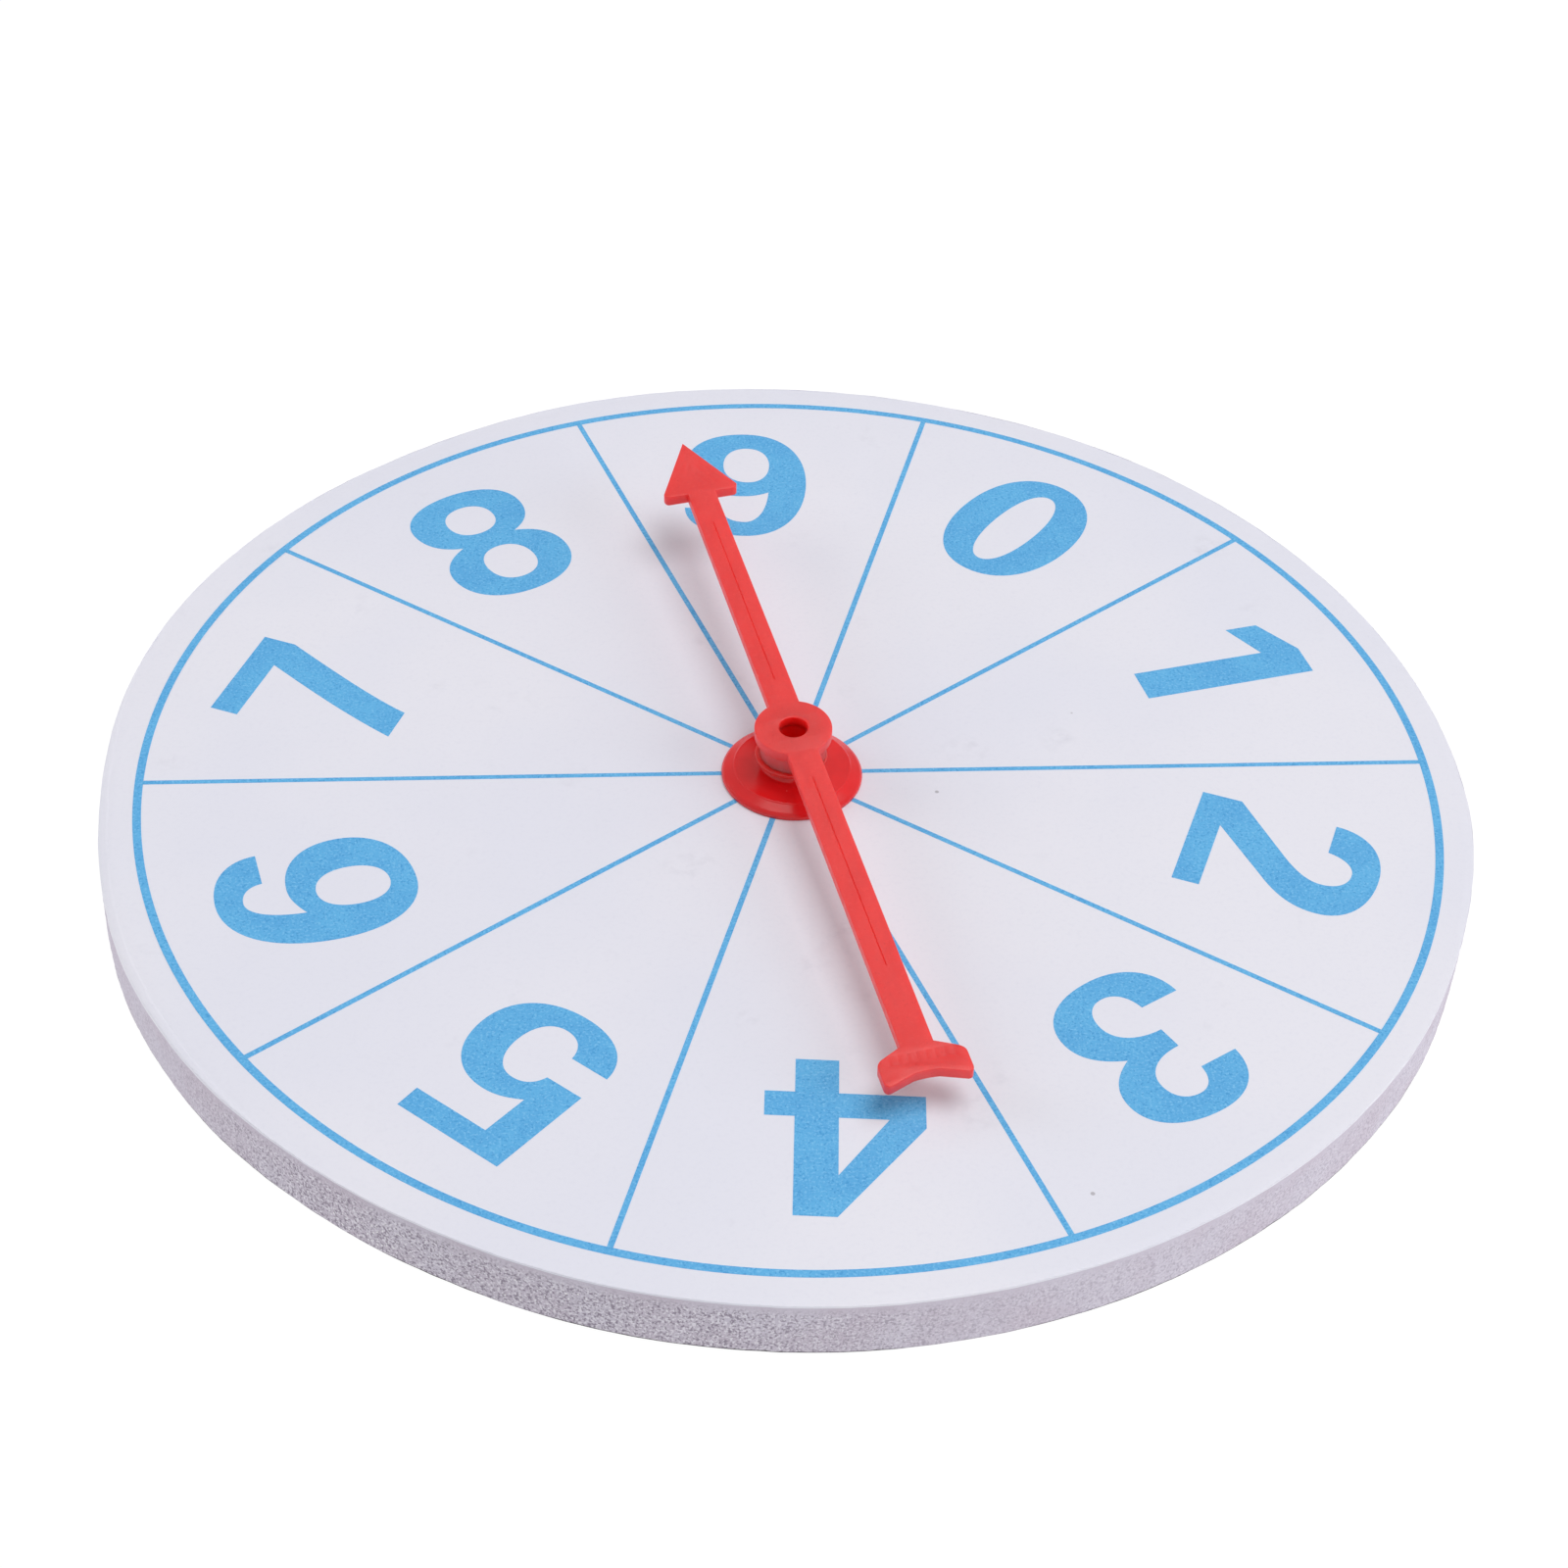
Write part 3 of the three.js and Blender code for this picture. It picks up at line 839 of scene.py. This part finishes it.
ARROW_HEADING = math.radians(11)
HEAD_RISE = math.radians(2.6)
SIDE_RISE = math.radians(2.6)
PLATE_THICKNESS = 1.35
PLATE_ROUND = 0.12
PLATE_FOOT_ROUND = 0.2
RING_R = 4.25
RING_POINTS = 40
HOLE_R = 1.57
HOLE_POINTS = 64
HOLE_DEPTH = 4.2
NECK_FOOT_R = 3.7
NECK_TOP_R = 3.2
NECK_FLARE = 0.2
NECK_FLARE_HEIGHT = 0.6
NECK_TOP_IN_PLATE = 0.7
PEG_R = 2
PEG_BORE_R = 1.1
PEG_BORE_TAPER = 0.5
BEAD_R = 2.45
BEAD_LEAD_IN = 0.55
BEAD_SLOPE_TOP = 0.35
BEAD_EDGE = 0.1
PEG_GAP = 0.05
ROCK_BLEND_HEIGHT = 1
SHAFT_HALF_AT_RING = 1.71
SHAFT_HALF_AT_TAIL = 1.72
SHAFT_HALF_AT_HEAD = 1.65
TIP_Y = 51.35
BARB = Vector((4.4, 42.45))
BARB_BACK = Vector((3.8, 41.75))
TAIL_NECK_Y = -46.75
SHOULDER = Vector((3.65, -47.75))
SHOULDER_CORNER_Y = -48.2
TAIL_SIDE_TOP = Vector((4.6, -48.9))
TAIL_SIDE_END = Vector((4.6, -50.75))
TAIL_HORN = Vector((4, -51.45))
HOLLOW_BEND = Vector((1.35, -50.45))
HOLLOW_MIDDLE_Y = -50.35
CORNER_STEPS = 6

LINE_WIDTH = 0.2
LINE_DEPTH = 0.1
LINE_START_Y = 8
LINE_END_Y = 36
CHEVRONS = 3
CHEVRON_SPACING = 0.85
CHEVRON_START = 0.5
CHEVRON_BASE_Y = 43.3
CHEVRON_WIDTH = 0.26
CHEVRON_DEPTH = 0.05
TAIL_RIBS = 8
TAIL_RIB_SPACING = 0.95
TAIL_RIB_TOP_Y = SHOULDER.y - 0.1
TAIL_RIB_LENGTH = 1.1
TAIL_RIB_WIDTH = 0.22
TAIL_RIB_DEPTH = 0.045

# The wedges that cut the grooves stand proud of the plate by CUTTER_RISE.
CUTTER_RISE = 0.3
WEDGE_FACES = [(2, 1, 0), (5, 3, 4), (4, 3, 0, 1), (5, 4, 1, 2), (3, 5, 2, 0)]


def bend(start, corner, end):
    """Points after start up to end on a quarter-round whose tangents meet at the corner."""
    shares = [step / CORNER_STEPS for step in range(1, CORNER_STEPS + 1)]
    return [start.lerp(corner, s).lerp(corner.lerp(end, s), s) for s in shares]


def arrow_outline():
    """The plate's outline seen from above, anticlockwise, with the arrow's length along Y."""
    join_angle = math.acos(SHAFT_HALF_AT_RING / RING_R)
    ring_angles = np.linspace(-join_angle, join_angle, RING_POINTS)
    ring = [RING_R * Vector((math.cos(angle), math.sin(angle))) for angle in ring_angles]
    horn_corner = Vector((TAIL_SIDE_END.x, TAIL_HORN.y))
    shoulder_corner = Vector((TAIL_SIDE_TOP.x, SHOULDER_CORNER_Y))
    barb_corner = Vector((BARB.x, BARB_BACK.y))
    left_bend = Vector((-HOLLOW_BEND.x, HOLLOW_BEND.y))
    hollow_top = Vector((0, 2 * HOLLOW_MIDDLE_Y - HOLLOW_BEND.y))
    right = [
        TAIL_HORN,
        *bend(TAIL_HORN, horn_corner, TAIL_SIDE_END),
        TAIL_SIDE_TOP,
        *bend(TAIL_SIDE_TOP, shoulder_corner, SHOULDER),
        Vector((SHAFT_HALF_AT_TAIL, TAIL_NECK_Y)),
        *ring,
        Vector((SHAFT_HALF_AT_HEAD, BARB_BACK.y)),
        BARB_BACK,
        *bend(BARB_BACK, barb_corner, BARB),
    ]
    left = [Vector((-point.x, point.y)) for point in reversed(right)]
    hollow = [left_bend, *bend(left_bend, hollow_top, HOLLOW_BEND)]
    return [*right, Vector((0, TIP_Y)), *left, *hollow]


def arrow_pose():
    """How the arrow rests: turned to its heading, and rocked on its peg so that its head and
    its right side are a little high."""
    pivot = Vector((0, 0, WASHER_TOP_Z + PEG_GAP)) * MM
    rock = Matrix.Rotation(HEAD_RISE, 4, "X") @ Matrix.Rotation(-SIDE_RISE, 4, "Y")
    turn = Matrix.Rotation(ARROW_HEADING, 4, "Z")
    return Matrix.Translation(pivot) @ turn @ rock @ Matrix.Translation(-pivot)


def groove(start, end, width, depth):
    """The corners of a wedge that cuts a straight V groove into the top of the plate."""
    along = (end - start).normalized()
    side = Vector((-along.y, along.x))
    spread = width / 2 * (depth + CUTTER_RISE) / depth
    corners = []
    for point, outward in ((start, -along), (end, along)):
        tip = point + outward * spread
        corners.append((*(tip + side * spread), PLATE_TOP_Z + CUTTER_RISE))
        corners.append((*(tip - side * spread), PLATE_TOP_Z + CUTTER_RISE))
        corners.append((*point, PLATE_TOP_Z - depth))
    return corners


def arrow_grooves():
    """The moulded marks on the plate: a fine line along each half, chevrons and tail ribs."""
    marks = [
        (Vector((0, LINE_START_Y)), Vector((0, LINE_END_Y)), LINE_WIDTH, LINE_DEPTH),
        (Vector((0, -LINE_END_Y)), Vector((0, -LINE_START_Y)), LINE_WIDTH, LINE_DEPTH),
    ]
    head_edge = (BARB - Vector((0, TIP_Y))).normalized()
    for number in range(1, CHEVRONS + 1):
        apex = Vector((0, TIP_Y - number * CHEVRON_SPACING / head_edge.x))
        reach = (CHEVRON_BASE_Y - apex.y) / head_edge.y
        for side in (1, -1):
            slope = Vector((side * head_edge.x, head_edge.y))
            start = apex + CHEVRON_START * slope
            marks.append((start, apex + reach * slope, CHEVRON_WIDTH, CHEVRON_DEPTH))
    for number in range(TAIL_RIBS):
        x = (number - (TAIL_RIBS - 1) / 2) * TAIL_RIB_SPACING
        top = Vector((x, TAIL_RIB_TOP_Y))
        foot = Vector((x, TAIL_RIB_TOP_Y - TAIL_RIB_LENGTH))
        marks.append((top, foot, TAIL_RIB_WIDTH, TAIL_RIB_DEPTH))
    return [groove(*mark) for mark in marks]


def carve(piece, wedges):
    """Cuts wedges that don't touch one another out of the piece."""
    vertices = [Vector(corner) * MM for wedge in wedges for corner in wedge]
    faces = [
        [corner + len(wedges[0]) * number for corner in face]
        for number in range(len(wedges))
        for face in WEDGE_FACES
    ]
    mesh = bpy.data.meshes.new("cutter")
    mesh.from_pydata(vertices, [], faces)
    cutter = bpy.data.objects.new("cutter", mesh)
    bpy.context.scene.collection.objects.link(cutter)
    cut = piece.modifiers.new("cut", "BOOLEAN")
    cut.object = cutter
    bpy.context.view_layer.update()
    carved = bpy.data.meshes.new_from_object(
        piece.evaluated_get(bpy.context.evaluated_depsgraph_get())
    )
    piece.modifiers.remove(cut)
    piece.data = carved
    bpy.data.objects.remove(cutter)


def arrow_plate(material):
    """The flat plate with its grooves."""
    hole = [
        HOLE_R * Vector((math.cos(angle), -math.sin(angle)))
        for angle in np.linspace(0, 2 * math.pi, HOLE_POINTS, endpoint=False)
    ]
    bottom = PLATE_TOP_Z - PLATE_THICKNESS
    loops = [arrow_outline(), hole]
    vertices, faces = slab(loops, bottom, PLATE_TOP_Z, PLATE_ROUND, PLATE_FOOT_ROUND)
    piece = add_piece("arrow_plate", vertices, faces, material, "arrow")
    carve(piece, arrow_grooves())
    piece.data.transform(arrow_pose())
    piece.data.set_sharp_from_angle(angle=SHARP_ANGLE)
    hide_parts("spin_arrow")
    return piece


def arrow_neck(material):
    """The hollow neck that stands on the washer, and the snap peg that turns in the hub. The
    neck rocks with the plate; the peg stays upright in its bore."""
    shoulder = WASHER_TOP_Z + PEG_GAP
    bead_top = SLEEVE_END_Z - PEG_GAP
    hole_end = PLATE_TOP_Z - HOLE_DEPTH
    neck_top = PLATE_TOP_Z - PLATE_THICKNESS * NECK_TOP_IN_PLATE
    profile = filleted([
        (PEG_BORE_R, PEG_END_Z, 0.08),
        (BEAD_R - BEAD_LEAD_IN, PEG_END_Z, 0.1),
        (BEAD_R, bead_top - BEAD_SLOPE_TOP, 0.1),
        (BEAD_R, bead_top - BEAD_EDGE, 0.05),
        (PEG_R, bead_top, 0.05),
        (PEG_R, shoulder, 0.05),
        (NECK_FOOT_R, shoulder, 0.08),
        (NECK_TOP_R, neck_top - NECK_FLARE_HEIGHT, 0.1),
        (NECK_TOP_R + NECK_FLARE, neck_top, 0.1),
        (HOLE_R + 0.09, neck_top, 0),
        (HOLE_R + 0.05, hole_end, 0.15),
        (PEG_BORE_R, hole_end - PEG_BORE_TAPER, 0.15),
    ])
    vertices, faces = turned(profile)
    pose = arrow_pose()
    rocking = smooth_step(shoulder, shoulder + ROCK_BLEND_HEIGHT, vertices[:, 2])[:, None]
    rocked = np.array([pose @ (Vector(point) * MM) / MM for point in vertices])
    vertices = vertices + rocking * (rocked - vertices)
    piece = add_piece("arrow_neck", vertices, faces, material, "arrow")
    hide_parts("spin_arrow")
    return piece


# ---- Studio --------------------------------------------------------------------------------

VIEW_AZIMUTH = math.radians(-5.371)
VIEW_ELEVATION = math.radians(41.328)
VIEW_ROLL = math.radians(2.6017)
VIEW_TARGET = Vector((-4.323, -2.369, FACE_Z))
VIEW_DISTANCE = 339.07
LENS = 70.94
SHIFT = (0.01909, 0.00301)
NEAREST_SEEN = 0.01

FLOOR_HALF = 3000
FLOOR_TOP_Z = -0.03
FLOOR_COLOR = (0.05, 0.05, 0.05, 1)
FLOOR_GLOW = 0.97
WORLD_GLOW = 0.35
FILL_DISTANCE = 1400
FILL_SIZE = 800


def camera():
    """The camera on the board's near side, looking down at it."""
    back = Vector((
        math.sin(VIEW_AZIMUTH) * math.cos(VIEW_ELEVATION),
        -math.cos(VIEW_AZIMUTH) * math.cos(VIEW_ELEVATION),
        math.sin(VIEW_ELEVATION),
    ))
    level = Vector((0, 0, 1)).cross(back).normalized()
    upright = back.cross(level)
    right = math.cos(VIEW_ROLL) * level + math.sin(VIEW_ROLL) * upright
    up = math.cos(VIEW_ROLL) * upright - math.sin(VIEW_ROLL) * level
    data = bpy.data.cameras.new("camera")
    data.lens = LENS
    data.shift_x, data.shift_y = SHIFT
    data.clip_start = NEAREST_SEEN
    holder = bpy.data.objects.new("camera", data)
    bpy.context.scene.collection.objects.link(holder)
    turn = Matrix((right, up, back)).transposed().to_4x4()
    place = (VIEW_TARGET + VIEW_DISTANCE * back) * MM
    holder.matrix_world = Matrix.Translation(place) @ turn
    bpy.context.scene.camera = holder


def floor():
    """A pale back-lit table top, as used for cut-out product pictures, a hair under the board."""
    table = Surface(
        "floor",
        FLOOR_COLOR,
        0.8,
        Emission_Color=(1, 1, 1, 1),
        Emission_Strength=FLOOR_GLOW,
    )
    mesh = bpy.data.meshes.new("floor")
    corners = [
        Vector((x * FLOOR_HALF, y * FLOOR_HALF, FLOOR_TOP_Z)) * MM
        for x, y in [(-1, -1), (1, -1), (1, 1), (-1, 1)]
    ]
    mesh.from_pydata(corners, [], [(0, 1, 2, 3)])
    mesh.materials.append(table.material)
    sheet = bpy.data.objects.new("floor", mesh)
    bpy.context.scene.collection.objects.link(sheet)


def softbox(name, direction, distance, size, brightness, mirrored=True):
    """A square lamp that looks at the middle of the board. Its brightness is the share of full
    white that it gives a white surface facing it there. It may be kept out of reflections."""
    lamp = bpy.data.lights.new(name, "AREA")
    lamp.size = size * MM
    lamp.energy = brightness * (math.pi * distance * MM) ** 2
    holder = bpy.data.objects.new(name, lamp)
    bpy.context.scene.collection.objects.link(holder)
    toward = Vector(direction).normalized()
    holder.location = toward * distance * MM
    holder.rotation_euler = toward.to_track_quat("Z", "Y").to_euler()
    holder.visible_glossy = mirrored


def studio():
    """A white world, three soft lamps and a card that the gloss mirrors."""
    world = bpy.data.worlds.new("studio")
    world.use_nodes = True
    background = world.node_tree.nodes["Background"]
    background.inputs["Color"].default_value = (1, 1, 1, 1)
    background.inputs["Strength"].default_value = WORLD_GLOW
    bpy.context.scene.world = world
    bpy.context.scene.view_settings.view_transform = "Standard"
    softbox("key", (0.3, 0.1, 1), distance=2400, size=1500, brightness=0.48)
    softbox("right_fill", (0.92, -0.45, 0.42), FILL_DISTANCE, FILL_SIZE, 0.36, mirrored=False)
    softbox("left_fill", (-0.95, 0.3, 0.35), FILL_DISTANCE, FILL_SIZE, 0.32, mirrored=False)
    softbox("top_card", (-0.21, -0.02, 1), distance=900, size=380, brightness=0.045)


# ---- Assembly ------------------------------------------------------------------------------

camera()
floor()
studio()

cut_foam = foam_material()
printed_film = film_material()
blue_ink = ink_material()
gloss_red = gloss_red_material()
satin_red = satin_red_material()

foam_disc(cut_foam)
face_sheet(printed_film)
dial_print(blue_ink)
hub_base(gloss_red)
rear_retainer(gloss_red)
thrust_washer(satin_red)
arrow_plate(satin_red)
arrow_neck(satin_red)
